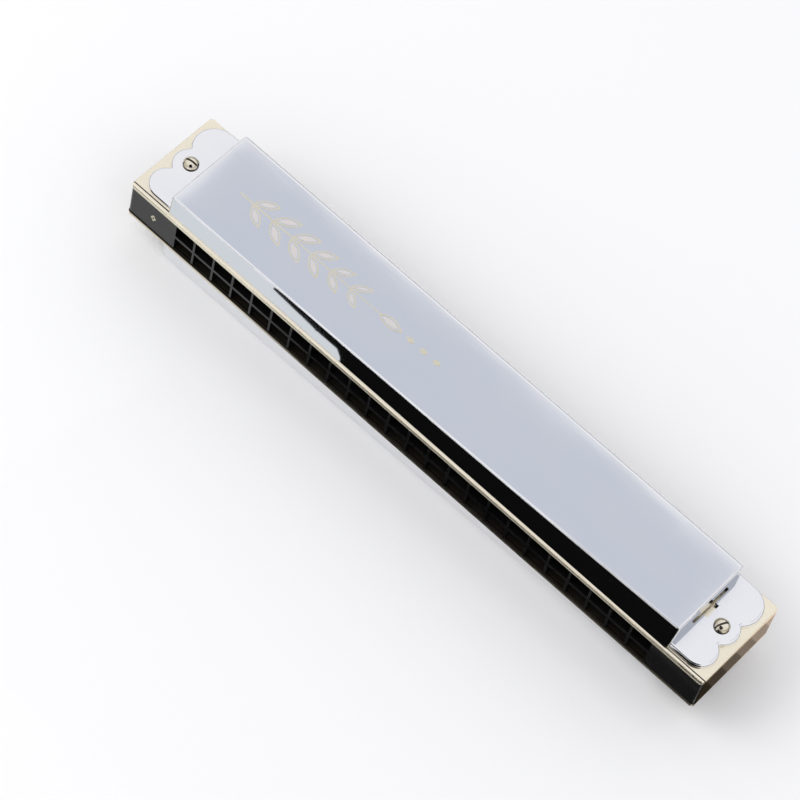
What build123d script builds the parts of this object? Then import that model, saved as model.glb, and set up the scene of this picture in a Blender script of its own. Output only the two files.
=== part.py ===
from build123d import *
import os

# Tremolo harmonica, 24 columns by 2 rows of holes, as an assembly of separate pieces.
#
# Millimetres. X runs along the length with the low notes at -X, the mouthpiece faces -Y and
# +Z is up. The origin is under the middle of the instrument, on the flat of the lower cover.

# ---------------------------------------------------------------- driving dimensions
LENGTH = 182.0          # reed plates and comb, end to end
DEPTH = 28.0            # front lip to back edge
COLUMNS = 24            # notes side by side
PITCH = 6.34            # from one column to the next
COMB_HEIGHT = 10.6
PLATE_THICKNESS = 1.2
COVER_HEIGHT = 6.7      # each cover, above its reed plate

# comb
COMB_SETBACK = 0.25     # the comb's face stands this far behind the plates' lips
RIB = 0.6               # wall between two columns
MID_RIB = 0.9           # wall between the upper and the lower row
BACK_WALL = 3.0
CORNER_RADIUS = 1.0     # upright corners of comb and plates

# reed plates
LIP_WIDTH = 0.85        # strip in front of the groove
LIP_ROUNDING = 0.45
GROOVE_WIDTH = 0.3
GROOVE_DEPTH = 0.35
SLOT_WIDTH = 2.3

# reeds: draw reeds lie on the outer face, blow reeds inside the comb
REED_WIDTH = 2.16
REED_THICKNESS = 0.3
REED_LIFT = 0.12        # gap between a tongue at rest and its plate
REED_TIP_GAP = 0.12
LONGEST_REED = 17.0
SHORTEST_REED = 9.0
DRAW_ROOT_Y = -9.0      # where a draw tongue leaves its base
BLOW_ROOT_Y = 8.0
BASE_WIDTH = 2.9
BASE_LENGTH = 2.5
BASE_THICKNESS = 0.5
ROOT_GAP = 0.04         # cut between a base and its tongue

# rivets
RIVET_RADIUS = 0.55
RIVET_HEAD_RADIUS = 0.8
RIVET_HEAD_HEIGHT = 0.3

# covers
SHEET = 0.6             # thickness of the cover's sheet metal
COVER_HALF_LENGTH = 79.4
COVER_SETBACK = 0.6     # from the front lip to the foot of the cover's front face
LOW_NOTE_RUN = 0.5      # how far the front face leans back over its height, at -X,
MIDDLE_RUN = 1.1        # at the middle
HIGH_NOTE_RUN = 2.7     # and at +X
FRONT_BEND_RADIUS = 0.5
BACK_BEND_RADIUS = 1.4
END_BEND_RADIUS = 0.7
SHARPEST_BEND = 0.1     # least radius on the inside of a bend
COVER_BACK_Y = 13.2
BACK_LIP_HEIGHT = 0.4   # short lip over the open back
HEM_RADIUS = 0.45       # rolled edge of that lip
BACK_CORNER_RETURN = 1.0

# three-lobed flange at each end of a cover: (distance from the plate's end, y, radius)
FLANGE_HEIGHT = 1.1
LOBES = ((6.1, -7.9, 4.6), (6.2, 0.0, 4.7), (7.2, 7.75, 6.0))
FLANGE_EDGE_ROUNDING = 0.85
NOTCH_ROUNDING = 0.3
SLIT_FRONT_Y = -4.2     # slit at the foot of the end wall
SLIT_BACK_Y = 8.5
SLIT_TOP = 1.7
SLIT_REACH = 0.35       # how far the slit runs out into the flange
WINDOW_FRONT_Y = -0.9   # wider window in the middle of the slit
WINDOW_BACK_Y = 3.5
WINDOW_REACH = 1.5
CORNER_RELIEF = 1.7     # cut between the flange and the front face
FOOT_ROUNDING = 1.3     # lower corners of the front face
CUT_DEPTH = 2.4         # how thick the block is that opens the back

# cover screws and nuts
SCREW_FROM_END = 6.3
SCREW_RADIUS = 1.2
SCREW_HOLE_RADIUS = 1.3
HEAD_RADIUS = 2.0
HEAD_RIM = 0.35         # straight side of the domed head
HEAD_HEIGHT = 1.4
HEAD_SLOT_WIDTH = 0.55
HEAD_SLOT_DEPTH = 0.6
SLOT_TURNS = (9.0, 64.0) # how far each screw's slot is turned from X, in degrees
NUT_ACROSS_FLATS = 4.6
NUT_HEIGHT = 1.6
SCREW_END = 0.4         # screw past the nut

# small screws that hold the reed plates to the comb's back wall
PLATE_SCREW_XS = (-70.0, -42.0, -14.0, 14.0, 42.0, 70.0)
PLATE_SCREW_Y = 12.5
PLATE_SCREW_RADIUS = 0.65
PLATE_SCREW_HEAD_RADIUS = 1.15
PLATE_SCREW_HEAD_HEIGHT = 0.6
PLATE_SCREW_LENGTH = 4.6
PLATE_SCREW_SLOT = 0.35
SLOT_OVERRUN = 1.1      # a driver slot's cut, as a share of its head's width

# ---------------------------------------------------------------- worked out from those
HALF_LENGTH = LENGTH / 2
FRONT_Y = -DEPTH / 2
BACK_Y = DEPTH / 2
LOWER_PLATE_Z = COVER_HEIGHT
COMB_Z = LOWER_PLATE_Z + PLATE_THICKNESS
COMB_TOP_Z = COMB_Z + COMB_HEIGHT
PLATE_TOP_Z = COMB_TOP_Z + PLATE_THICKNESS
MID_Z = COMB_Z + COMB_HEIGHT / 2
MID_PLANE = Plane.XY.offset(MID_Z)
COVER_FRONT_Y = FRONT_Y + COVER_SETBACK
BACK_OPENING_END_X = COVER_HALF_LENGTH - SHEET - BACK_CORNER_RETURN
BACK_OPENING_HEIGHT = COVER_HEIGHT - SHEET - BACK_LIP_HEIGHT
SCREW_X = HALF_LENGTH - SCREW_FROM_END
CHAMBER_BACK_Y = BACK_Y - BACK_WALL
COLUMN_XS = [(column - (COLUMNS - 1) / 2) * PITCH for column in range(COLUMNS)]


def reed_length(column):
    """Tongue length, falling evenly from the low notes to the high ones."""
    return LONGEST_REED - (LONGEST_REED - SHORTEST_REED) * column / (COLUMNS - 1)


def is_draw(column):
    """Every second column sounds on the draw, the first one on the blow."""
    return column % 2 == 1


def root_y(column):
    return DRAW_ROOT_Y if is_draw(column) else BLOW_ROOT_Y


def away(column):
    """Direction along Y from a reed's base to its tip."""
    return 1 if is_draw(column) else -1


def rivet_y(column):
    return root_y(column) - away(column) * (ROOT_GAP + BASE_LENGTH / 2)


def save(piece, name):
    """Label one piece and write its STEP file, named as the node."""
    piece.label = name
    export_step(piece, f"parts/{name}.step")


os.makedirs("parts", exist_ok=True)

# ---------------------------------------------------------------- comb
COMB_FRONT_Y = FRONT_Y + COMB_SETBACK
COMB_DEPTH = BACK_Y - COMB_FRONT_Y
CHAMBER_DEPTH = CHAMBER_BACK_Y - COMB_FRONT_Y
CHAMBER_HEIGHT = (COMB_HEIGHT - MID_RIB) / 2

with BuildPart() as comb:
    with BuildSketch(Plane.XY.offset(COMB_Z)):
        with Locations((0, COMB_FRONT_Y + COMB_DEPTH / 2)):
            Rectangle(LENGTH, COMB_DEPTH)
    extrude(amount=COMB_HEIGHT)
    fillet(comb.edges().filter_by(Axis.Z), CORNER_RADIUS)
    # chambers: open to the mouth and to the reed plate above or below
    for chamber_z in (COMB_Z, COMB_TOP_Z - CHAMBER_HEIGHT):
        with BuildSketch(Plane.XY.offset(chamber_z)):
            with Locations([(x, COMB_FRONT_Y + CHAMBER_DEPTH / 2) for x in COLUMN_XS]):
                Rectangle(PITCH - RIB, CHAMBER_DEPTH)
        extrude(amount=CHAMBER_HEIGHT, mode=Mode.SUBTRACT)
    # bores for the cover screws
    with BuildSketch(Plane.XY.offset(COMB_Z)):
        with Locations((-SCREW_X, 0), (SCREW_X, 0)):
            Circle(SCREW_HOLE_RADIUS)
    extrude(amount=COMB_HEIGHT, mode=Mode.SUBTRACT)
    # pilot holes for the plate screws, from above and from below
    pilot_depth = PLATE_SCREW_LENGTH - PLATE_THICKNESS
    for pilot_z in (COMB_Z, COMB_TOP_Z - pilot_depth):
        with BuildSketch(Plane.XY.offset(pilot_z)):
            with Locations([(x, PLATE_SCREW_Y) for x in PLATE_SCREW_XS]):
                Circle(PLATE_SCREW_RADIUS)
        extrude(amount=pilot_depth, mode=Mode.SUBTRACT)
save(comb.part, "comb")

# ---------------------------------------------------------------- reed plates
with BuildPart() as upper_reed_plate:
    with BuildSketch(Plane.XY.offset(COMB_TOP_Z)):
        Rectangle(LENGTH, DEPTH)
    extrude(amount=PLATE_THICKNESS)
    fillet(upper_reed_plate.edges().filter_by(Axis.Z), CORNER_RADIUS)
    fillet(upper_reed_plate.faces().sort_by(Axis.Z)[-1].edges().sort_by(Axis.Y)[0], LIP_ROUNDING)
    # the groove behind the lip, under the cover's front edge
    with BuildSketch(Plane.XY.offset(PLATE_TOP_Z)):
        with Locations((0, FRONT_Y + LIP_WIDTH + GROOVE_WIDTH / 2)):
            Rectangle(LENGTH, GROOVE_WIDTH)
    extrude(amount=-GROOVE_DEPTH, mode=Mode.SUBTRACT)
    # reed slots, screw holes and rivet holes
    with BuildSketch(Plane.XY.offset(COMB_TOP_Z)):
        for column, x in enumerate(COLUMN_XS):
            slot_length = reed_length(column) + REED_TIP_GAP
            with Locations((x, root_y(column) + away(column) * slot_length / 2)):
                Rectangle(SLOT_WIDTH, slot_length)
            with Locations((x, rivet_y(column))):
                Circle(RIVET_RADIUS)
        with Locations((-SCREW_X, 0), (SCREW_X, 0)):
            Circle(SCREW_HOLE_RADIUS)
        with Locations([(x, PLATE_SCREW_Y) for x in PLATE_SCREW_XS]):
            Circle(PLATE_SCREW_RADIUS)
    extrude(amount=PLATE_THICKNESS, mode=Mode.SUBTRACT)
save(upper_reed_plate.part, "upper_reed_plate")

with BuildPart() as lower_reed_plate:
    mirror(upper_reed_plate.part, about=MID_PLANE)
save(lower_reed_plate.part, "lower_reed_plate")


# ---------------------------------------------------------------- covers
def cover_form(inset):
    """The cover's bent form as a solid block, shrunk by inset on its four sides and its top."""
    half_length = COVER_HALF_LENGTH - inset
    front_y = COVER_FRONT_Y + inset
    back_y = COVER_BACK_Y - inset
    top_z = PLATE_TOP_Z + COVER_HEIGHT - inset
    with BuildPart() as form:
        with BuildSketch(Plane.XY.offset(PLATE_TOP_Z)):
            with BuildLine():
                Polyline(
                    (-half_length, front_y),
                    (half_length, front_y),
                    (half_length, back_y),
                    (-half_length, back_y),
                    close=True,
                )
            make_face()
        # the front face is upright at the low notes and leans back towards the high ones
        with BuildSketch(Plane.XY.offset(top_z)):
            with BuildLine():
                front = ThreePointArc(
                    (-half_length, front_y + LOW_NOTE_RUN),
                    (0, front_y + MIDDLE_RUN),
                    (half_length, front_y + HIGH_NOTE_RUN),
                )
                Polyline(front @ 1, (half_length, back_y), (-half_length, back_y), front @ 0)
            make_face()
        loft(ruled=True)
        front_to_back = form.faces().sort_by(Axis.Z)[-1].edges().sort_by(Axis.Y)
        fillet(front_to_back[0], max(FRONT_BEND_RADIUS - inset, SHARPEST_BEND))
        front_to_back = form.faces().sort_by(Axis.Z)[-1].edges().sort_by(Axis.Y)
        fillet(front_to_back[-1], BACK_BEND_RADIUS - inset)
        ends = form.faces().sort_by(Axis.X)
        end_edges = ends[0].edges() + ends[-1].edges()
        upper_edges = end_edges.filter_by(lambda edge: edge.center().Z > PLATE_TOP_Z + inset)
        fillet(upper_edges, max(END_BEND_RADIUS - inset, SHARPEST_BEND))
    return form.part


def flange_outline(inset):
    """One flange seen from above: three lobes joined to the end wall, shrunk by inset."""
    wall_x = COVER_HALF_LENGTH - SHEET
    first_end, first_y, first_radius = LOBES[0]
    last_end, last_y, last_radius = LOBES[-1]
    front_y = first_y - first_radius + inset
    back_y = last_y + last_radius - inset
    with BuildSketch() as outline:
        for from_end, y, radius in LOBES:
            with Locations((HALF_LENGTH - from_end, y)):
                Circle(radius - inset)
        with BuildLine():
            Polyline(
                (wall_x, front_y),
                (HALF_LENGTH - first_end, front_y),
                (HALF_LENGTH - last_end, back_y),
                (wall_x, back_y),
                close=True,
            )
        make_face()
    return outline.sketch


def side_box(near_x, far_x, front_y, back_y, top_z):
    """A block standing on the reed plate at the +X end, used to cut the cover there."""
    with BuildPart() as block:
        with BuildSketch(Plane.XY.offset(PLATE_TOP_Z)):
            with Locations(((near_x + far_x) / 2, (front_y + back_y) / 2)):
                Rectangle(far_x - near_x, back_y - front_y)
        extrude(amount=top_z)
    return block.part


flange_outside = flange_outline(0)
flange_inside = flange_outline(SHEET)

with BuildPart() as right_flange:
    with BuildSketch(Plane.XY.offset(PLATE_TOP_Z)):
        add(flange_outside)
    extrude(amount=FLANGE_HEIGHT)
    notches = right_flange.edges().filter_by(Axis.Z).filter_by_position(
        Axis.X, COVER_HALF_LENGTH, HALF_LENGTH
    )
    fillet(notches, NOTCH_ROUNDING)
    rim = right_flange.faces().sort_by(Axis.Z)[-1].edges()
    fillet(rim.filter_by(lambda edge: edge.center().X > COVER_HALF_LENGTH), FLANGE_EDGE_ROUNDING)
    # pressed sheet: hollow underneath, with its edge turned down onto the plate
    with BuildSketch(Plane.XY.offset(PLATE_TOP_Z)):
        add(flange_inside)
    extrude(amount=FLANGE_HEIGHT - SHEET, mode=Mode.SUBTRACT)
    with BuildSketch(Plane.XY.offset(PLATE_TOP_Z)):
        with Locations((SCREW_X, 0)):
            Circle(SCREW_HOLE_RADIUS)
    extrude(amount=FLANGE_HEIGHT, mode=Mode.SUBTRACT)

slit = side_box(
    COVER_HALF_LENGTH - 2 * SHEET, COVER_HALF_LENGTH + SLIT_REACH, SLIT_FRONT_Y, SLIT_BACK_Y, SLIT_TOP
)
window = side_box(
    COVER_HALF_LENGTH, COVER_HALF_LENGTH + WINDOW_REACH, WINDOW_FRONT_Y, WINDOW_BACK_Y, SLIT_TOP
)

# a gap between the front face and the flange, which leaves the face's lower corner round
with BuildPart() as relief:
    with BuildSketch(Plane.XZ.offset(-FRONT_Y)):
        with BuildLine():
            corner = (COVER_HALF_LENGTH, PLATE_TOP_Z + FOOT_ROUNDING)
            foot = (COVER_HALF_LENGTH - FOOT_ROUNDING, PLATE_TOP_Z)
            gap_x = COVER_HALF_LENGTH - SHEET + CORNER_RELIEF
            TangentArc(corner, foot, tangent=(0, -1))
            Polyline(
                foot,
                (gap_x, PLATE_TOP_Z),
                (gap_x, PLATE_TOP_Z + CORNER_RELIEF),
                (COVER_HALF_LENGTH, PLATE_TOP_Z + CORNER_RELIEF),
                corner,
            )
        make_face()
    extrude(amount=-(COVER_FRONT_Y + CORNER_RELIEF / 2 - FRONT_Y))

cover_outside = cover_form(0)
cover_inside = cover_form(SHEET)

with BuildPart() as upper_cover:
    add(cover_outside)
    add(cover_inside, mode=Mode.SUBTRACT)
    # the back is open under a short lip
    with BuildSketch(Plane.XY.offset(PLATE_TOP_Z)):
        with Locations((0, COVER_BACK_Y)):
            Rectangle(2 * BACK_OPENING_END_X, CUT_DEPTH)
    extrude(amount=BACK_OPENING_HEIGHT, mode=Mode.SUBTRACT)
    # rolled hem along the lip
    with BuildSketch(Plane.YZ.offset(-BACK_OPENING_END_X)):
        with Locations((COVER_BACK_Y - HEM_RADIUS, PLATE_TOP_Z + BACK_OPENING_HEIGHT)):
            Circle(HEM_RADIUS)
    extrude(amount=2 * BACK_OPENING_END_X)
    # a flange at each end, and the cuts around the foot of the end walls
    for piece, mode in (
        (right_flange.part, Mode.ADD),
        (slit, Mode.SUBTRACT),
        (window, Mode.SUBTRACT),
        (relief.part, Mode.SUBTRACT),
    ):
        add(piece, mode=mode)
        add(piece.mirror(Plane.YZ), mode=mode)
save(upper_cover.part, "upper_cover")

with BuildPart() as lower_cover:
    mirror(upper_cover.part, about=MID_PLANE)
save(lower_cover.part, "lower_cover")

# ---------------------------------------------------------------- cover screws and nuts
SCREW_SEAT_Z = PLATE_TOP_Z + FLANGE_HEIGHT
NUT_SEAT_Z = LOWER_PLATE_Z - FLANGE_HEIGHT
SCREW_TIP_Z = NUT_SEAT_Z - NUT_HEIGHT - SCREW_END
DOME_HEIGHT = HEAD_HEIGHT - HEAD_RIM
DOME_RADIUS = (HEAD_RADIUS**2 + DOME_HEIGHT**2) / (2 * DOME_HEIGHT)

with BuildPart() as cover_screws:
    for x in (-SCREW_X, SCREW_X):
        with BuildSketch(Plane.XZ):
            with BuildLine():
                bottom = Line((x, SCREW_TIP_Z), (x + SCREW_RADIUS, SCREW_TIP_Z))
                shank = Line(bottom @ 1, (x + SCREW_RADIUS, SCREW_SEAT_Z))
                seat = Line(shank @ 1, (x + HEAD_RADIUS, SCREW_SEAT_Z))
                side = Line(seat @ 1, (x + HEAD_RADIUS, SCREW_SEAT_Z + HEAD_RIM))
                dome = RadiusArc(side @ 1, (x, SCREW_SEAT_Z + HEAD_HEIGHT), -DOME_RADIUS)
                Line(dome @ 1, bottom @ 0)
            make_face()
        revolve(axis=Axis((x, 0, 0), (0, 0, 1)))
    with BuildSketch(Plane.XY.offset(SCREW_SEAT_Z + HEAD_HEIGHT)):
        for x, turn in zip((-SCREW_X, SCREW_X), SLOT_TURNS):
            with Locations((x, 0)):
                Rectangle(2 * HEAD_RADIUS * SLOT_OVERRUN, HEAD_SLOT_WIDTH, rotation=turn)
    extrude(amount=-HEAD_SLOT_DEPTH, mode=Mode.SUBTRACT)
save(cover_screws.part, "cover_screws")

with BuildPart() as cover_nuts:
    with BuildSketch(Plane.XY.offset(NUT_SEAT_Z)):
        with Locations((-SCREW_X, 0), (SCREW_X, 0)):
            RegularPolygon(NUT_ACROSS_FLATS / 2, 6, major_radius=False)
            Circle(SCREW_RADIUS, mode=Mode.SUBTRACT)
    extrude(amount=-NUT_HEIGHT)
save(cover_nuts.part, "cover_nuts")

# ---------------------------------------------------------------- reed plate screws
with BuildPart() as upper_plate_screws:
    with BuildSketch(Plane.XY.offset(PLATE_TOP_Z - PLATE_SCREW_LENGTH)):
        with Locations([(x, PLATE_SCREW_Y) for x in PLATE_SCREW_XS]):
            Circle(PLATE_SCREW_RADIUS)
    extrude(amount=PLATE_SCREW_LENGTH)
    with BuildSketch(Plane.XY.offset(PLATE_TOP_Z)):
        with Locations([(x, PLATE_SCREW_Y) for x in PLATE_SCREW_XS]):
            Circle(PLATE_SCREW_HEAD_RADIUS)
    extrude(amount=PLATE_SCREW_HEAD_HEIGHT)
    head_rims = upper_plate_screws.faces().group_by(Axis.Z)[-1].edges()
    fillet(head_rims, PLATE_SCREW_HEAD_HEIGHT / 2)
    with BuildSketch(Plane.XY.offset(PLATE_TOP_Z + PLATE_SCREW_HEAD_HEIGHT)):
        with Locations([(x, PLATE_SCREW_Y) for x in PLATE_SCREW_XS]):
            Rectangle(2 * PLATE_SCREW_HEAD_RADIUS * SLOT_OVERRUN, PLATE_SCREW_SLOT)
    extrude(amount=-PLATE_SCREW_HEAD_HEIGHT / 2, mode=Mode.SUBTRACT)
save(upper_plate_screws.part, "upper_plate_screws")

with BuildPart() as lower_plate_screws:
    mirror(upper_plate_screws.part, about=MID_PLANE)
save(lower_plate_screws.part, "lower_plate_screws")

# ---------------------------------------------------------------- reeds


def outer_face_z(column):
    """Z of the upper plate's face that carries this column's reed."""
    return PLATE_TOP_Z if is_draw(column) else COMB_TOP_Z


def outward(column):
    """Direction along Z from the upper plate to its reed: up for draw, down for blow."""
    return 1 if is_draw(column) else -1


with BuildPart() as upper_bases:
    for column, x in enumerate(COLUMN_XS):
        with BuildSketch(Plane.XY.offset(outer_face_z(column))):
            with Locations((x, rivet_y(column))):
                Rectangle(BASE_WIDTH, BASE_LENGTH)
                Circle(RIVET_RADIUS, mode=Mode.SUBTRACT)
        extrude(amount=outward(column) * BASE_THICKNESS)

with BuildPart() as reed_bases:
    add(upper_bases.part)
    mirror(upper_bases.part, about=MID_PLANE)
save(reed_bases.part, "reed_bases")

RIVET_DOME_RADIUS = (RIVET_HEAD_RADIUS**2 + RIVET_HEAD_HEIGHT**2) / (2 * RIVET_HEAD_HEIGHT)

with BuildPart() as upper_rivets:
    for column, x in enumerate(COLUMN_XS):
        # the reed side lies on the base, the far side on the plate's other face
        if is_draw(column):
            low_z = COMB_TOP_Z
            high_z = PLATE_TOP_Z + BASE_THICKNESS
        else:
            low_z = COMB_TOP_Z - BASE_THICKNESS
            high_z = PLATE_TOP_Z
        with BuildSketch(Plane.XZ.offset(-rivet_y(column))):
            with BuildLine():
                low = (x, low_z - RIVET_HEAD_HEIGHT)
                high = (x, high_z + RIVET_HEAD_HEIGHT)
                low_dome = RadiusArc(low, (x + RIVET_HEAD_RADIUS, low_z), -RIVET_DOME_RADIUS)
                low_seat = Line(low_dome @ 1, (x + RIVET_RADIUS, low_z))
                stem = Line(low_seat @ 1, (x + RIVET_RADIUS, high_z))
                high_seat = Line(stem @ 1, (x + RIVET_HEAD_RADIUS, high_z))
                RadiusArc(high_seat @ 1, high, -RIVET_DOME_RADIUS)
                Line(high, low)
            make_face()
        revolve(axis=Axis((x, rivet_y(column), 0), (0, 0, 1)))

with BuildPart() as reed_rivets:
    add(upper_rivets.part)
    mirror(upper_rivets.part, about=MID_PLANE)
save(reed_rivets.part, "reed_rivets")

# each tongue bends at its root, so it is a piece of its own beside its base
for column, x in enumerate(COLUMN_XS):
    tongue_z = outer_face_z(column) + outward(column) * REED_LIFT
    with BuildPart() as upper_reed:
        with BuildSketch(Plane.XY.offset(tongue_z)):
            with Locations((x, root_y(column) + away(column) * reed_length(column) / 2)):
                Rectangle(REED_WIDTH, reed_length(column))
        extrude(amount=outward(column) * REED_THICKNESS)
    save(upper_reed.part, f"upper_reed_{column + 1:02d}")
    with BuildPart() as lower_reed:
        mirror(upper_reed.part, about=MID_PLANE)
    save(lower_reed.part, f"lower_reed_{column + 1:02d}")
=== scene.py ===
import bmesh
import bpy
import math
from mathutils import Matrix, Vector


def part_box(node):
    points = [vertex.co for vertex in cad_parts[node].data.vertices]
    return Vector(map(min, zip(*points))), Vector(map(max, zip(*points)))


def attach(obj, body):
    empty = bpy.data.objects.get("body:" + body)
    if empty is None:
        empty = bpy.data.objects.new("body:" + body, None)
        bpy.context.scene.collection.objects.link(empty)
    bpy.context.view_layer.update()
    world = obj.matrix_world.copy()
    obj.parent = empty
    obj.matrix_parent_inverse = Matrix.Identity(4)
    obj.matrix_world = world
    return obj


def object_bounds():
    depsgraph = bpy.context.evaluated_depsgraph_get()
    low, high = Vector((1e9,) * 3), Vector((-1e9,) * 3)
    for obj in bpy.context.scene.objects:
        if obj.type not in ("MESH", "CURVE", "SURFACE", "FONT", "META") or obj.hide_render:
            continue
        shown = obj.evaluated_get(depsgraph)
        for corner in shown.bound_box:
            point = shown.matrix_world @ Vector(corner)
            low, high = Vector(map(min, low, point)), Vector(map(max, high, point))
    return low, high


# The looks of a tremolo harmonica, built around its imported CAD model. Metres, in the CAD frame:
# X runs along the length from the low notes to the high, the mouthpiece faces -Y, +Z is up.

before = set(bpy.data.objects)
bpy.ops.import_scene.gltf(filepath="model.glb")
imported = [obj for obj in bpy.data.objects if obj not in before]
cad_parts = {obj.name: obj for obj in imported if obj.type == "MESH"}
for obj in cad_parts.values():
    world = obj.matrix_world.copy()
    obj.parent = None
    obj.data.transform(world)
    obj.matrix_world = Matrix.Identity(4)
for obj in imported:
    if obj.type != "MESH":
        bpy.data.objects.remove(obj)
cad_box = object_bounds()

MM = 0.001
LOW, HIGH = cad_box
CENTRE = (LOW + HIGH) / 2
TOP_Z = HIGH.z
INSTRUMENT = "instrument"

# ---------------------------------------------------------------- camera
AIM_OFFSET = Vector((-6.7, -10.2, 6.5)) * MM    # what the camera looks at, from the centre
CAMERA_AZIMUTH = 28.27
CAMERA_ELEVATION = 59.78
CAMERA_DISTANCE = 0.918
CAMERA_ROLL = 16.26
CAMERA_LENS = 176.7
CAMERA_SENSOR = 36.0
CAMERA_CLIP = (0.05, 50.0)

# ---------------------------------------------------------------- light
SKY_ZENITH = (0.93, 0.93, 0.96)
SKY_HORIZON = (0.50, 0.51, 0.53)
SKY_BAND = 0.35                                 # sine of the height where the zenith's tone begins
SKY_STRENGTH = 1.0
BACKDROP = (0.93, 0.93, 0.935)
SOFTBOX_POWER = 5.0
SOFTBOX_SIZE = 0.8
SOFTBOX_PLACE = Vector((-0.75, -0.55, 0.95))

# ---------------------------------------------------------------- floor and flags
FLOOR_SIZE = 12.0
FLOOR_DROP = 0.05 * MM                          # keeps the floor just clear of the flat cover
FLOOR_TONE = (0.90, 0.90, 0.895)
FLOOR_TONE_SPREAD = 0.985
FLOOR_CELLS = 1500.0
FLOOR_GLOSS = (0.75, 0.9)
FLOOR_RELIEF = 0.004 * MM
FLAG_RADIUS = 1.2                               # black flags all round, low at the horizon
FLAG_HEIGHT = 0.21
FLAG_SIDES = 24
LENS_DISC_RADIUS = 0.36                         # the dark round the camera's lens
LENS_DISC_BEHIND = 0.02

# ---------------------------------------------------------------- cards that the chrome mirrors
# Places and outlines are in millimetres. Each card lies where a surface's mirrored rays go.
DARK_TONE = (0.004, 0.004, 0.004)
PALE_TONE = (0.618, 0.652, 0.728)
GREY_TONE = (0.465, 0.490, 0.550)
LEFT_TONE = (0.70, 0.74, 0.77)
LIP_TONE = (0.80, 0.80, 0.78)
CARD_LIFT = 0.4 * MM                            # floor cards lie just above the floor
CARD_HEIGHT = 900.0 * MM                        # high cards hang level above the instrument
CARDS_LEFT = -130
CARDS_RIGHT = 150
DARK_FRONT = -120
LEFT_FRONT = -60
NEAR_LEFT = -115                                # where the lip's and the comb's cards begin
FACE_BACK = -27                                 # the cover's front face mirrors what lies before it
LIP_BACK = -23.6                                # the plate's lip mirrors from FACE_BACK to here
COMB_BACK = -16                                 # the comb's face mirrors from LIP_BACK to here
WEDGE = [(-28, FACE_BACK), (-31, -31.2), (-33, -32.3), (-42, -32.6), (-55, -32.3)]
DARK_CORNER = (-73, DARK_FRONT)
LEFT_CORNER = (-60.7, LEFT_FRONT)
PALE_CARD = [(-67, 300), (-67, 487.5), (-401, 487.5), (-399.5, 467), (-399, 438), (-399, 300)]
GREY_CARD = (170, 300, 330, 640)                # left, right, front, back
COMB_DARK = [(-33, -6, 0.03), (-6, 40, 0.004), (40, CARDS_RIGHT, 0.045)]    # left, right, grey
COMB_PALE_GREY = 0.58
FADE_STRIPS = 8                                 # the comb's left tone fades to black in strips
FADE_LEFT = -57
FADE_STRIP = 3
FADE_GREY = 0.546
FADE_STEP = 0.069
TAUPE_FRONT_TONE = Vector((0.03, 0.02, 0.005))
TAUPE_BACK_TONE = Vector((0.98, 0.78, 0.62))
TAUPE_CURVE = 2.2                               # the tone stays dark in front and lightens late
TAUPE_STRIPS = 7
TAUPE_STRIP = 5.5
TAUPE_LEFT = 84
TAUPE_RIGHT = 130
TAUPE_FRONT = -14
BOARD_Y = -58
LEFT_BOARD = (CARDS_LEFT, -95.5, 34)            # left, right, height
RIGHT_BOARD = (73.5, CARDS_RIGHT, 58)

# ---------------------------------------------------------------- heights from the mid plane
MID_Z = CENTRE.z
PLATE_INSIDE = 5.3 * MM                         # the reed plates' inner faces
PLATE_OUTSIDE = 6.5 * MM
SCREW_SEAT = 7.6 * MM                           # the flanges' outer faces
SCREW_SEAT_DEPTH = 0.1 * MM
SCREW_RIM_TOP = 8.0 * MM
SCREW_RIM_SOFT = 0.03 * MM
SCREW_SLOT_FLOOR = 8.4 * MM
SCREW_SLOT_HALF = 0.02 * MM
SCREW_SLOT_SOFT = 0.01 * MM

# ---------------------------------------------------------------- painted shade, grain and wear
# A dark tone painted as shade on the plates' inner faces, the reeds, the groove behind the lip and round
# the screws.
PAINTED_SHADE_TONE = (0.045, 0.033, 0.022)
PAINTED_SHADE_ROUGHNESS = 0.25
# How dark the painted shade is inside the comb and outside it, and how far it reaches on a plate's inner
# face.
INSIDE_SHADE = 0.9
OUTSIDE_SHADE = 0.1
INSIDE_SHADE_DEPTH = 0.06 * MM
GROOVE_Y = LOW.y + 1.0 * MM                     # middle of the groove behind the front lip
GROOVE_HALF = 0.17 * MM
GROOVE_SOFT = 0.02 * MM
GROOVE_DEEP = 0.10 * MM                         # below the plate's outer face
GROOVE_SHALLOW = 0.02 * MM
NOISE_SPAN = (0.3, 0.7)                         # where most of a noise's values lie
EDGE_SPAN = (0.02, 0.22)
CHIP_SPAN = (0.35, 0.65)
PATCH_CELLS = 90.0                              # all grain is in cells per metre
SPECK_CELLS = 5000.0
CHIP_CELLS = 900.0
GRAIN_SHARE = 0.25
DULL_SPAN = (0.45, 0.75)
DULL_SHARE = 0.35
# Where the patches break up the painted shade.
SHADE_PATCH_SPAN = (0.2, 0.6)
SHADE_PATCH_SHARE = (0.86, 1.0)
GLOSS_BASE = 0.75                               # roughness is its base share and a grain's share
GLOSS_GRAIN = 0.5
SPECK_RELIEF = 0.5
GOLD_INK = ((0.80, 0.74, 0.58), (0.70, 0.62, 0.46), 0.28, 0.40)    # bright, worn, their roughness
ROSE_INK = ((0.83, 0.78, 0.74), (0.76, 0.70, 0.64), 0.30, 0.42)
CREAM_INK = ((0.86, 0.80, 0.62), (0.72, 0.65, 0.48), 0.32, 0.44)
INK_CELLS = (4000.0, 4000.0, 4000.0)
INK_EDGE = 0.05 * MM
INK_RELIEF = 0.0008 * MM

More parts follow.
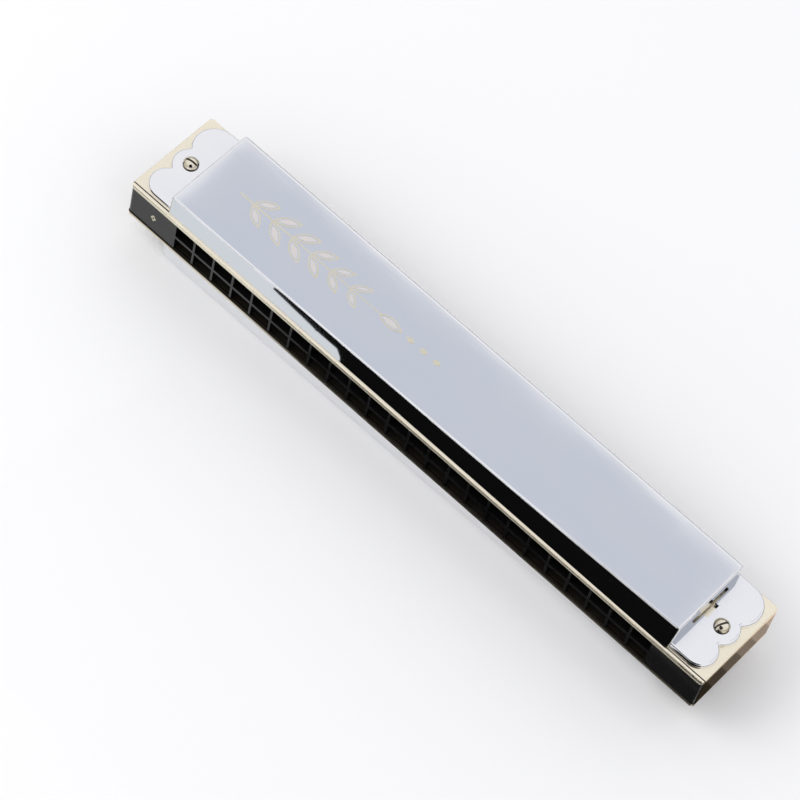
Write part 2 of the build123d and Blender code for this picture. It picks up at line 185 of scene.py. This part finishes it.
# ---------------------------------------------------------------- chrome and plastic
CHROME_COOL = (0.855, 0.865, 0.885)
CHROME_WARM = (0.875, 0.875, 0.890)
CHROME_WORN = (0.74, 0.71, 0.66)
CHROME_POLISH_CELLS = (120.0, 7000.0, 7000.0)   # fine lines along the length
CHROME_SHEET_CELLS = (45.0, 110.0, 110.0)       # slow waves of the pressed sheet
CHROME_SMUDGE_CELLS = 55.0
CHROME_RIDGE_CELLS = (700.0, 2600.0, 700.0)
CHROME_SMUDGE_SPAN = (0.55, 0.8)
CHROME_CHIP_CELLS = 700.0
CHROME_CHIP_SPAN = (0.45, 0.7)
CHROME_EDGE = 0.3 * MM
CHROME_EDGE_SPAN = (0.10, 0.32)
CHROME_GLOSS = (0.035, 0.055)                   # roughness across the polish lines
CHROME_SMUDGED = 0.035
CHROME_RUBBED = 0.12
CHROME_POLISH_RELIEF = 0.00004 * MM
CHROME_SHEET_RELIEF = 0.012 * MM
PLASTIC_DEEP = (0.0030, 0.0030, 0.0034)
PLASTIC_SHALLOW = (0.0056, 0.0053, 0.0052)
PLASTIC_WORN = (0.030, 0.028, 0.027)
PLASTIC_TEXTURE_CELLS = 3200.0
PLASTIC_FLOW_CELLS = (60.0, 260.0, 260.0)
PLASTIC_CHIP_CELLS = 800.0
PLASTIC_EDGE = 0.25 * MM
PLASTIC_GLOSS = (0.11, 0.18)                    # roughness along the flow marks
PLASTIC_RUBBED = 0.15
PLASTIC_RELIEF = 0.0012 * MM


class Graph:
    """The node tree of one material, with short calls for what the materials share."""

    def __init__(self, name):
        self.material = bpy.data.materials.new(name)
        self.material.use_nodes = True
        self.tree = self.material.node_tree
        self.tree.nodes.clear()
        self.output = self.tree.nodes.new("ShaderNodeOutputMaterial")
        self.shader = self.tree.nodes.new("ShaderNodeBsdfPrincipled")
        self.link(self.shader.outputs["BSDF"], self.output.inputs["Surface"])
        self.coordinates = self.tree.nodes.new("ShaderNodeTexCoord").outputs["Object"]

    def link(self, source, target):
        self.tree.links.new(source, target)

    def feed(self, target, value):
        """Link a socket, or set a plain number or colour."""
        if isinstance(value, bpy.types.NodeSocket):
            self.link(value, target)
        elif isinstance(value, tuple) and len(target.default_value) == 4:
            target.default_value = (*value, 1.0)
        else:
            target.default_value = value

    def set(self, name, value):
        self.feed(self.shader.inputs[name], value)

    def math(self, operation, first, second=0.0, third=0.0):
        node = self.tree.nodes.new("ShaderNodeMath")
        node.operation = operation
        for socket, value in zip(node.inputs, (first, second, third)):
            self.feed(socket, value)
        return node.outputs[0]

    def parts(self, vector):
        """X, Y and Z of a vector."""
        node = self.tree.nodes.new("ShaderNodeSeparateXYZ")
        self.link(vector, node.inputs[0])
        return node.outputs

    def stretch(self, scale):
        """Object coordinates with a scale of its own along X, Y and Z, in cells per metre."""
        node = self.tree.nodes.new("ShaderNodeMapping")
        self.link(self.coordinates, node.inputs["Vector"])
        node.inputs["Scale"].default_value = scale
        return node.outputs["Vector"]

    def noise(self, scale, detail=2.0, roughness=0.5, distortion=0.0):
        """Noise from 0 to 1. Scale is cells per metre, one number or one for each axis."""
        if not isinstance(scale, tuple):
            scale = (scale, scale, scale)
        node = self.tree.nodes.new("ShaderNodeTexNoise")
        self.link(self.stretch(scale), node.inputs["Vector"])
        node.inputs["Scale"].default_value = 1.0
        node.inputs["Detail"].default_value = detail
        node.inputs["Roughness"].default_value = roughness
        node.inputs["Distortion"].default_value = distortion
        return node.outputs["Fac"]

    def span(self, value, low, high, to_low=0.0, to_high=1.0):
        """Map a value smoothly from one range to another, clamped."""
        node = self.tree.nodes.new("ShaderNodeMapRange")
        node.interpolation_type = "SMOOTHSTEP"
        self.feed(node.inputs["Value"], value)
        node.inputs["From Min"].default_value = low
        node.inputs["From Max"].default_value = high
        node.inputs["To Min"].default_value = to_low
        node.inputs["To Max"].default_value = to_high
        return node.outputs["Result"]

    def blend(self, share, first, second):
        """Mix two colours."""
        node = self.tree.nodes.new("ShaderNodeMix")
        node.data_type = "RGBA"
        self.feed(node.inputs["Factor"], share)
        self.feed(node.inputs["A"], first)
        self.feed(node.inputs["B"], second)
        return node.outputs["Result"]

    def from_middle(self):
        """Height above or below the instrument's mid plane, in metres."""
        height = self.parts(self.coordinates)[2]
        return self.math("ABSOLUTE", self.math("SUBTRACT", height, MID_Z))

    def within(self, value, low, high, soft):
        """1 where a value lies between two limits, 0 outside."""
        above = self.span(value, low - soft, low + soft)
        below = self.span(value, high - soft, high + soft, 1.0, 0.0)
        return self.math("MULTIPLY", above, below)

    def edges(self, radius, limits=EDGE_SPAN):
        """1 on bends and edges, 0 on flat faces that lie along the axes."""
        bevel = self.tree.nodes.new("ShaderNodeBevel")
        bevel.samples = 4
        bevel.inputs["Radius"].default_value = radius
        sizes = [self.math("ABSOLUTE", part) for part in self.parts(bevel.outputs["Normal"])]
        largest = self.math("MAXIMUM", self.math("MAXIMUM", sizes[0], sizes[1]), sizes[2])
        return self.span(self.math("SUBTRACT", 1.0, largest), *limits)

    def bump(self, height, distance, under=None):
        """Relief of a height from 0 to 1, with distance its real depth in metres."""
        node = self.tree.nodes.new("ShaderNodeBump")
        node.inputs["Strength"].default_value = 1.0
        node.inputs["Distance"].default_value = distance
        self.link(height, node.inputs["Height"])
        if under is not None:
            self.link(under, node.inputs["Normal"])
        return node.outputs["Normal"]


# ---------------------------------------------------------------- materials
def plate_painted_shade(graph):
    """Painted shade on a plate's inner face, inside the comb's chambers, and on the sunk floor of the
    groove behind the lip.
    """
    height = graph.from_middle()
    # Painted shade on the plate's inner face, inside the comb's chambers.
    inside = graph.span(height, PLATE_INSIDE, PLATE_INSIDE + INSIDE_SHADE_DEPTH, INSIDE_SHADE, 0.0)
    along_y = graph.parts(graph.coordinates)[1]
    # Painted shade along the sunk floor of the groove behind the lip.
    groove = graph.within(along_y, GROOVE_Y - GROOVE_HALF, GROOVE_Y + GROOVE_HALF, GROOVE_SOFT)
    sunk = graph.span(height, PLATE_OUTSIDE - GROOVE_DEEP, PLATE_OUTSIDE - GROOVE_SHALLOW, 1.0, 0.0)
    return graph.math("MAXIMUM", inside, graph.math("MULTIPLY", groove, sunk))


def reed_painted_shade(graph):
    """Painted shade on what lies inside the comb, fading out through the plate."""
    return graph.span(graph.from_middle(), PLATE_INSIDE, PLATE_OUTSIDE, INSIDE_SHADE, OUTSIDE_SHADE)


def screw_painted_shade(graph):
    """Painted shade round the foot of a screw's head, where it meets the flange, and on the slot's floor.
    """
    height = graph.from_middle()
    # Painted shade at the head's foot and in the slot.
    foot = graph.within(height, SCREW_SEAT - SCREW_SEAT_DEPTH, SCREW_RIM_TOP, SCREW_RIM_SOFT)
    slot_low = SCREW_SLOT_FLOOR - SCREW_SLOT_HALF
    slot_high = SCREW_SLOT_FLOOR + SCREW_SLOT_HALF
    slot = graph.within(height, slot_low, slot_high, SCREW_SLOT_SOFT)
    return graph.math("MAXIMUM", foot, slot)


def metal(name, bright, worn, rough, rough_worn, grain, edge_radius, relief, painted_shade=None):
    """A plated or ground metal: grain along one direction, patches, worn edges and painted shade."""
    graph = Graph(name)
    lines = graph.noise(grain, detail=3.0, roughness=0.6)
    patches = graph.noise(PATCH_CELLS, detail=4.0, roughness=0.6, distortion=0.4)
    speck = graph.noise(SPECK_CELLS, detail=1.0)
    chips = graph.span(graph.noise(CHIP_CELLS, detail=3.0), *CHIP_SPAN)
    rubbed = graph.math("MULTIPLY", graph.edges(edge_radius), chips)
    dulled = graph.span(patches, *DULL_SPAN, 0.0, DULL_SHARE)
    tired = graph.math("MAXIMUM", rubbed, dulled)
    tone = graph.blend(graph.span(lines, *NOISE_SPAN, 0.0, GRAIN_SHARE), bright, worn)
    colour = graph.blend(tired, tone, worn)
    grainy = graph.math("MULTIPLY_ADD", lines, rough * GLOSS_GRAIN, rough * GLOSS_BASE)
    gloss = graph.math("ADD", grainy, graph.math("MULTIPLY", tired, rough_worn - rough))
    # Paint a dark tone as shade where the mask says, broken up by the patches, and roughen it there.
    if painted_shade is not None:
        shade_share = graph.math("MULTIPLY", painted_shade(graph), graph.span(patches, *SHADE_PATCH_SPAN, *SHADE_PATCH_SHARE))
        colour = graph.blend(shade_share, colour, PAINTED_SHADE_TONE)
        gloss = graph.math("ADD", gloss, graph.math("MULTIPLY", shade_share, PAINTED_SHADE_ROUGHNESS))
    graph.set("Metallic", 1.0)
    graph.set("Base Color", colour)
    graph.set("Roughness", gloss)
    graph.set("Normal", graph.bump(speck, relief * SPECK_RELIEF, graph.bump(lines, relief)))
    return graph.material


def ink(name, bright, worn, rough, rough_worn):
    """A thin printed metal: fine even grain."""
    return metal(
        name, bright, worn, rough, rough_worn,
        grain=INK_CELLS, edge_radius=INK_EDGE, relief=INK_RELIEF,
    )


def chrome():
    """Mirror chrome on pressed sheet: polishing lines, faint smudges, slightly worn bends."""
    graph = Graph("mirror_chrome")
    lines = graph.noise(CHROME_POLISH_CELLS, detail=2.0)
    sheet = graph.noise(CHROME_SHEET_CELLS, detail=1.0)
    cloud = graph.noise(CHROME_SMUDGE_CELLS, detail=5.0, roughness=0.65, distortion=0.8)
    ridges = graph.span(graph.noise(CHROME_RIDGE_CELLS, detail=2.0), *NOISE_SPAN)
    print_mark = graph.math("MULTIPLY", graph.span(cloud, *CHROME_SMUDGE_SPAN), ridges)
    chips = graph.span(graph.noise(CHROME_CHIP_CELLS, detail=3.0), *CHROME_CHIP_SPAN)
    worn = graph.math("MULTIPLY", graph.edges(CHROME_EDGE, CHROME_EDGE_SPAN), chips)
    clean = graph.blend(graph.span(sheet, *NOISE_SPAN), CHROME_COOL, CHROME_WARM)
    fine = graph.span(lines, *NOISE_SPAN, *CHROME_GLOSS)
    marked = graph.math("MULTIPLY", print_mark, CHROME_SMUDGED)
    rubbed = graph.math("MULTIPLY", worn, CHROME_RUBBED)
    wavy = graph.bump(sheet, CHROME_SHEET_RELIEF)
    graph.set("Metallic", 1.0)
    graph.set("Base Color", graph.blend(worn, clean, CHROME_WORN))
    graph.set("Roughness", graph.math("ADD", graph.math("ADD", fine, marked), rubbed))
    graph.set("Normal", graph.bump(lines, CHROME_POLISH_RELIEF, wavy))
    return graph.material


def plastic():
    """Black moulded plastic: fine texture, faint flow marks, paler rubbed edges."""
    graph = Graph("black_plastic")
    texture = graph.noise(PLASTIC_TEXTURE_CELLS, detail=3.0)
    flow = graph.noise(PLASTIC_FLOW_CELLS, detail=3.0, distortion=0.6)
    chips = graph.span(graph.noise(PLASTIC_CHIP_CELLS, detail=3.0), *CHIP_SPAN)
    rubbed = graph.math("MULTIPLY", graph.edges(PLASTIC_EDGE), chips)
    tone = graph.blend(graph.span(flow, *NOISE_SPAN), PLASTIC_DEEP, PLASTIC_SHALLOW)
    flowing = graph.span(flow, *NOISE_SPAN, *PLASTIC_GLOSS)
    graph.set("Base Color", graph.blend(rubbed, tone, PLASTIC_WORN))
    graph.set("Roughness", graph.math("ADD", flowing, graph.math("MULTIPLY", rubbed, PLASTIC_RUBBED)))
    graph.set("Normal", graph.bump(texture, PLASTIC_RELIEF))
    return graph.material


def dress(material, *names):
    """Give CAD nodes a finished material."""
    for name in names:
        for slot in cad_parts[name].material_slots:
            slot.material = material


def dress_instrument():
    """A material for every CAD node."""
    champagne = metal(
        "champagne_plate",
        bright=(0.970, 0.895, 0.725), worn=(0.88, 0.79, 0.61), rough=0.22, rough_worn=0.36,
        grain=(260.0, 5200.0, 5200.0), edge_radius=0.2 * MM, relief=0.0012 * MM, painted_shade=plate_painted_shade,
    )
    nickel = metal(
        "warm_nickel",
        bright=(0.86, 0.82, 0.70), worn=(0.66, 0.58, 0.42), rough=0.10, rough_worn=0.26,
        grain=(2600.0, 2600.0, 2600.0), edge_radius=0.1 * MM, relief=0.0006 * MM, painted_shade=screw_painted_shade,
    )
    turned = metal(
        "turned_brass",
        bright=(0.80, 0.68, 0.42), worn=(0.58, 0.44, 0.22), rough=0.20, rough_worn=0.36,
        grain=(3600.0, 3600.0, 900.0), edge_radius=0.08 * MM, relief=0.001 * MM,
    )
    bronze = metal(
        "reed_bronze",
        bright=(0.83, 0.62, 0.37), worn=(0.62, 0.41, 0.20), rough=0.24, rough_worn=0.40,
        grain=(5200.0, 420.0, 5200.0), edge_radius=0.06 * MM, relief=0.0015 * MM, painted_shade=reed_painted_shade,
    )
    rivet = metal(
        "rivet_brass",
        bright=(0.84, 0.70, 0.42), worn=(0.60, 0.45, 0.22), rough=0.20, rough_worn=0.34,
        grain=(1500.0, 1500.0, 1500.0), edge_radius=0.06 * MM, relief=0.002 * MM, painted_shade=reed_painted_shade,
    )
    reeds = [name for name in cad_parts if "_reed_" in name and name[-2:].isdigit()]
    dress(chrome(), "upper_cover", "lower_cover")
    dress(champagne, "upper_reed_plate", "lower_reed_plate")
    dress(plastic(), "comb")
    dress(nickel, "cover_screws", "cover_nuts")
    dress(turned, "upper_plate_screws", "lower_plate_screws")
    dress(bronze, "reed_bases", *reeds)
    dress(rivet, "reed_rivets")


# ---------------------------------------------------------------- ornament
INLAY_HEIGHT = 0.02 * MM
LEAF_STEPS = 14
LEAF_ROUNDNESS = 0.85
LEAF_LENGTH = 7.4 * MM
LEAF_WIDTH = 2.7 * MM
LEAF_LEAN = math.radians(34.0)
LINE_WIDTH = 0.32 * MM
TIP_INSET = 2.2                                 # how far a line fills a leaf's tips, in its widths
FILL_INSET = 1.9 * LINE_WIDTH
SPRIG_START_X = -68.0 * MM
SPRIG_END_X = -24.0 * MM
SPRIG_PAIRS = 6
PAIR_OFF_STEM = 0.35 * MM
PAIR_SHRINK = 0.07
LARGEST_PAIR = 1.5
STEM_OVERHANG = 1.0 * MM
STEM_THIN = 0.12 * MM                           # half widths at the stem's end and start
STEM_THICK = 0.22 * MM
LOZENGES = 3
LOZENGE_START = 10.0 * MM
LOZENGE_PITCH = 4.2 * MM
LOZENGE_HALF_LENGTH = 1.3 * MM
LOZENGE_HALF_WIDTH = 0.8 * MM
MARK_FROM_END = 8.0 * MM
MARK_HALF_WIDTH = 0.85 * MM
MARK_HALF_HEIGHT = 1.25 * MM
MARK_HOLLOW = 0.42


def leaf(base, angle, length, width, inset=0.0):
    """Outline of a pointed leaf that starts at base and grows along angle."""
    ahead = Vector((math.cos(angle), math.sin(angle), 0.0))
    aside = Vector((-ahead.y, ahead.x, 0.0))
    tip_inset = inset * TIP_INSET
    outline = []
    for side in (1, -1):
        steps = range(LEAF_STEPS) if side == 1 else range(LEAF_STEPS, 0, -1)
        for step in steps:
            share = step / LEAF_STEPS
            along = tip_inset + (length - 2 * tip_inset) * share
            half_width = (width / 2 - inset) * math.sin(math.pi * share) ** LEAF_ROUNDNESS
            outline.append(base + ahead * along + aside * half_width * side)
    return outline


def lozenge(centre, half_length, half_width):
    """Outline of a lozenge."""
    corners = ((half_length, 0.0), (0.0, half_width), (-half_length, 0.0), (0.0, -half_width))
    return [centre + Vector((x, y, 0.0)) for x, y in corners]


def slab(mesh, outer, inner=None):
    """A thin closed plate about Z = 0: a filled outline, or a band between two."""
    loops = [outer] if inner is None else [outer, inner]
    low, high = [
        [[mesh.verts.new((point.x, point.y, z)) for point in loop] for loop in loops]
        for z in (-INLAY_HEIGHT, INLAY_HEIGHT)
    ]
    for index, loop in enumerate(loops):
        for here in range(len(loop)):
            after = (here + 1) % len(loop)
            wall = [low[index][here], low[index][after], high[index][after], high[index][here]]
            mesh.faces.new(wall if index == 0 else wall[::-1])
    if inner is None:
        mesh.faces.new(high[0])
        mesh.faces.new(low[0][::-1])
        return
    for here in range(len(outer)):
        after = (here + 1) % len(outer)
        mesh.faces.new([high[0][here], high[0][after], high[1][after], high[1][here]])
        mesh.faces.new([low[0][after], low[0][here], low[1][here], low[1][after]])


def inlay(name, outlines, material, place):
    """One printed piece, drawn flat, put in its place and riding on the instrument."""
    mesh = bmesh.new()
    for outline in outlines:
        slab(mesh, *outline)
    bmesh.ops.transform(mesh, matrix=place, verts=mesh.verts)
    bmesh.ops.recalc_face_normals(mesh, faces=mesh.faces)
    data = bpy.data.meshes.new(name)
    mesh.to_mesh(data)
    mesh.free()
    data.materials.append(material)
    piece = bpy.data.objects.new(name, data)
    bpy.context.scene.collection.objects.link(piece)
    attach(piece, INSTRUMENT)


def stem(end):
    """Outline of the sprig's stem, which thins towards its end."""
    start = Vector((SPRIG_START_X - STEM_OVERHANG, 0.0, 0.0))
    thin = Vector((0.0, STEM_THIN, 0.0))
    thick = Vector((0.0, STEM_THICK, 0.0))
    return [end + thin, start + thick, start - thick, end - thin]


def sprig():
    """A plain leafy sprig along the cover's top: leaf pairs on a stem, drawn in two tones."""
    run = SPRIG_END_X - SPRIG_START_X
    end = Vector((SPRIG_END_X, 0.0, 0.0))
    leaves = []
    for pair in range(SPRIG_PAIRS):
        size = 1.0 - PAIR_SHRINK * abs(pair - LARGEST_PAIR)
        x = SPRIG_START_X + run * (pair + 0.5) / (SPRIG_PAIRS + 1)
        for side in (1, -1):
            base = Vector((x, PAIR_OFF_STEM * side, 0.0))
            leaves.append((base, LEAF_LEAN * side, LEAF_LENGTH * size, LEAF_WIDTH * size))
    leaves.append((end, 0.0, LEAF_LENGTH, LEAF_WIDTH))
    lines = [(leaf(*shape), leaf(*shape, inset=LINE_WIDTH)) for shape in leaves]
    fills = [(leaf(*shape, inset=FILL_INSET),) for shape in leaves]
    lines.append((stem(end),))
    for step in range(LOZENGES):
        spot = Vector((SPRIG_END_X + LOZENGE_START + LOZENGE_PITCH * step, 0.0, 0.0))
        lines.append((lozenge(spot, LOZENGE_HALF_LENGTH, LOZENGE_HALF_WIDTH),))
    gold = ink("ornament_gold", *GOLD_INK)
    rose = ink("ornament_rose", *ROSE_INK)
    on_top = Matrix.Translation((0.0, 0.0, TOP_Z))
    inlay("ornament_lines", lines, gold, on_top)
    inlay("ornament_leaves", fills, rose, on_top)


def end_mark():
    """A small plain lozenge with a hollow middle, on the comb's low-note block."""
    comb_low, comb_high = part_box("comb")
    cream = ink("mark_cream", *CREAM_INK)
    spot = Vector((comb_low.x + MARK_FROM_END, comb_low.y, (comb_low.z + comb_high.z) / 2))
    upright = Matrix.Translation(spot) @ Matrix.Rotation(math.radians(90.0), 4, "X")
    outer = lozenge(Vector(), MARK_HALF_WIDTH, MARK_HALF_HEIGHT)
    inner = lozenge(Vector(), MARK_HALF_WIDTH * MARK_HOLLOW, MARK_HALF_HEIGHT * MARK_HOLLOW)
    inlay("end_mark", [(outer, inner)], cream, upright)


# ---------------------------------------------------------------- stage
def glow(name, tone):
    """An emission material of one tone, for the stage's cards."""
    material = bpy.data.materials.new(name)
    material.use_nodes = True
    tree = material.node_tree
    tree.nodes.clear()
    output = tree.nodes.new("ShaderNodeOutputMaterial")
    emission = tree.nodes.new("ShaderNodeEmission")
    emission.inputs["Color"].default_value = (*tone, 1.0)
    tree.links.new(emission.outputs["Emission"], output.inputs["Surface"])
    return material


def card(name, corners, tone):
    """A plane of one tone for the stage: what the chrome mirrors, not seen by the camera."""
    data = bpy.data.meshes.new(name)
    data.from_pydata([tuple(corner) for corner in corners], [], [tuple(range(len(corners)))])
    data.materials.append(glow(name, tone))
    plane = bpy.data.objects.new(name, data)
    bpy.context.scene.collection.objects.link(plane)
    plane.visible_camera = False
    plane.visible_diffuse = False
    plane.visible_shadow = False


def level_card(name, outline, tone, height=CARD_LIFT):
    """A level card, on the floor or hung overhead, its outline in millimetres."""
    card(name, [Vector((x * MM, y * MM, height)) for x, y in outline], tone)


def rectangle(left, right, front, back):
    """The corners of a level rectangle."""
    return [(left, front), (right, front), (right, back), (left, back)]


def board(name, left, right, height):
    """A small black board that stands on the floor in front of a flange, in millimetres."""
    outline = rectangle(left, right, 0, height)
    card(name, [Vector((x, BOARD_Y, z)) * MM for x, z in outline], DARK_TONE)


def front_cards():
    """What the cover's front face mirrors, pale and then black, and what the plate's lip mirrors."""
    dark = [*WEDGE, DARK_CORNER, (CARDS_RIGHT, DARK_FRONT), (CARDS_RIGHT, FACE_BACK)]
    left = [*WEDGE, LEFT_CORNER, (CARDS_LEFT, LEFT_FRONT), (CARDS_LEFT, FACE_BACK)]
    level_card("dark_card", dark, DARK_TONE)
    level_card("left_card", left, LEFT_TONE)
    level_card("lip_card", rectangle(NEAR_LEFT, CARDS_RIGHT, FACE_BACK, LIP_BACK), LIP_TONE)


def comb_cards():
    """What the comb's face mirrors: pale grey at the low notes, fading to black."""
    fading = [
        (FADE_LEFT + FADE_STRIP * step, FADE_LEFT + FADE_STRIP * (step + 1), FADE_GREY - FADE_STEP * step)
        for step in range(FADE_STRIPS)
    ]
    for left, right, grey in [(NEAR_LEFT, FADE_LEFT, COMB_PALE_GREY), *fading, *COMB_DARK]:
        level_card(f"near_card_{left}", rectangle(left, right, LIP_BACK, COMB_BACK), (grey, grey, grey))


def end_cards():
    """What the right end mirrors: dark taupe in front, pale taupe behind."""
    for strip in range(TAUPE_STRIPS):
        share = strip / (TAUPE_STRIPS - 1)
        tone = TAUPE_FRONT_TONE.lerp(TAUPE_BACK_TONE, share ** TAUPE_CURVE)
        front = TAUPE_FRONT + TAUPE_STRIP * strip
        outline = rectangle(TAUPE_LEFT, TAUPE_RIGHT, front, front + TAUPE_STRIP)
        level_card(f"taupe_card_{strip}", outline, tuple(tone))


def high_cards():
    """What the cover's top and its right end wall mirror."""
    level_card("pale_card", PALE_CARD, PALE_TONE, CARD_HEIGHT)
    level_card("grey_card", rectangle(*GREY_CARD), GREY_TONE, CARD_HEIGHT)


def floor():
    """The plain pale floor that the harmonica lies on."""
    half = FLOOR_SIZE / 2
    data = bpy.data.meshes.new("floor")
    corners = [(x, y, -FLOOR_DROP) for x, y in rectangle(-half, half, -half, half)]
    data.from_pydata(corners, [], [(0, 1, 2, 3)])
    plane = bpy.data.objects.new("floor", data)
    bpy.context.scene.collection.objects.link(plane)
    graph = Graph("floor_paper")
    paper = graph.noise(FLOOR_CELLS, detail=3.0)
    warm = tuple(part * FLOOR_TONE_SPREAD for part in FLOOR_TONE)
    graph.set("Base Color", graph.blend(paper, FLOOR_TONE, warm))
    graph.set("Roughness", graph.span(paper, *NOISE_SPAN, *FLOOR_GLOSS))
    graph.set("Normal", graph.bump(paper, FLOOR_RELIEF))
    data.materials.append(graph.material)


def ring(radius):
    """Points round a circle."""
    turns = [2 * math.pi * side / FLAG_SIDES for side in range(FLAG_SIDES)]
    return [Vector((math.cos(turn), math.sin(turn), 0.0)) * radius for turn in turns]


def flags():
    """Black flags all round, low at the horizon, which draw dark lines along the chrome's bends."""
    feet = ring(FLAG_RADIUS)
    up = Vector((0.0, 0.0, FLAG_HEIGHT))
    for side, here in enumerate(feet):
        after = feet[(side + 1) % FLAG_SIDES]
        card(f"flag_{side:02d}", [here, after, after + up, here + up], DARK_TONE)


def lens_disc(seat):
    """The dark round the camera's lens, which the screw heads mirror as a spot."""
    behind = Vector((0.0, 0.0, LENS_DISC_BEHIND))
    rim = [seat.matrix_world @ (point + behind) for point in ring(LENS_DISC_RADIUS)]
    card("lens_disc", rim, DARK_TONE)


def sky():
    """Soft light from all round. The camera itself sees a plain pale backdrop."""
    world = bpy.data.worlds.new("studio")
    bpy.context.scene.world = world
    world.use_nodes = True
    tree = world.node_tree
    tree.nodes.clear()
    output = tree.nodes.new("ShaderNodeOutputWorld")
    coordinates = tree.nodes.new("ShaderNodeTexCoord")
    parts = tree.nodes.new("ShaderNodeSeparateXYZ")
    ramp = tree.nodes.new("ShaderNodeMapRange")
    tones = tree.nodes.new("ShaderNodeMix")
    light = tree.nodes.new("ShaderNodeBackground")
    seen = tree.nodes.new("ShaderNodeBackground")
    path = tree.nodes.new("ShaderNodeLightPath")
    choose = tree.nodes.new("ShaderNodeMixShader")
    ramp.interpolation_type = "SMOOTHSTEP"
    ramp.inputs["From Min"].default_value = 0.0
    ramp.inputs["From Max"].default_value = SKY_BAND
    tones.data_type = "RGBA"
    tones.inputs["A"].default_value = (*SKY_HORIZON, 1.0)
    tones.inputs["B"].default_value = (*SKY_ZENITH, 1.0)
    light.inputs["Strength"].default_value = SKY_STRENGTH
    seen.inputs["Color"].default_value = (*BACKDROP, 1.0)
    tree.links.new(coordinates.outputs["Generated"], parts.inputs[0])
    tree.links.new(parts.outputs["Z"], ramp.inputs["Value"])
    tree.links.new(ramp.outputs["Result"], tones.inputs["Factor"])
    tree.links.new(tones.outputs["Result"], light.inputs["Color"])
    tree.links.new(path.outputs["Is Camera Ray"], choose.inputs["Fac"])
    tree.links.new(light.outputs["Background"], choose.inputs[1])
    tree.links.new(seen.outputs["Background"], choose.inputs[2])
    tree.links.new(choose.outputs["Shader"], output.inputs["Surface"])


def softbox():
    """One large soft light, high in front of the left end."""
    data = bpy.data.lights.new("softbox", "AREA")
    data.shape = "SQUARE"
    data.size = SOFTBOX_SIZE
    data.energy = SOFTBOX_POWER
    lamp = bpy.data.objects.new("softbox", data)
    bpy.context.scene.collection.objects.link(lamp)
    lamp.location = CENTRE + SOFTBOX_PLACE
    lamp.rotation_euler = (-SOFTBOX_PLACE).to_track_quat("-Z", "Y").to_euler()
    lamp.visible_camera = False
    lamp.visible_glossy = False


def camera():
    """A long lens from the front right, looking steeply down, rolled a little."""
    azimuth = math.radians(CAMERA_AZIMUTH)
    elevation = math.radians(CAMERA_ELEVATION)
    back = Vector((
        math.sin(azimuth) * math.cos(elevation),
        -math.cos(azimuth) * math.cos(elevation),
        math.sin(elevation),
    ))
    data = bpy.data.cameras.new("camera")
    data.sensor_width = CAMERA_SENSOR
    data.lens = CAMERA_LENS
    data.clip_start, data.clip_end = CAMERA_CLIP
    seat = bpy.data.objects.new("camera", data)
    bpy.context.scene.collection.objects.link(seat)
    look = (-back).to_track_quat("-Z", "Y").to_matrix().to_4x4()
    roll = Matrix.Rotation(math.radians(CAMERA_ROLL), 4, "Z")
    place = Matrix.Translation(CENTRE + AIM_OFFSET + back * CAMERA_DISTANCE)
    seat.matrix_world = place @ look @ roll
    bpy.context.scene.camera = seat
    return seat


dress_instrument()
sprig()
end_mark()
floor()
front_cards()
comb_cards()
end_cards()
high_cards()
board("left_board", *LEFT_BOARD)
board("right_board", *RIGHT_BOARD)
flags()
sky()
softbox()
lens_disc(camera())
bpy.context.scene.view_settings.view_transform = "Standard"
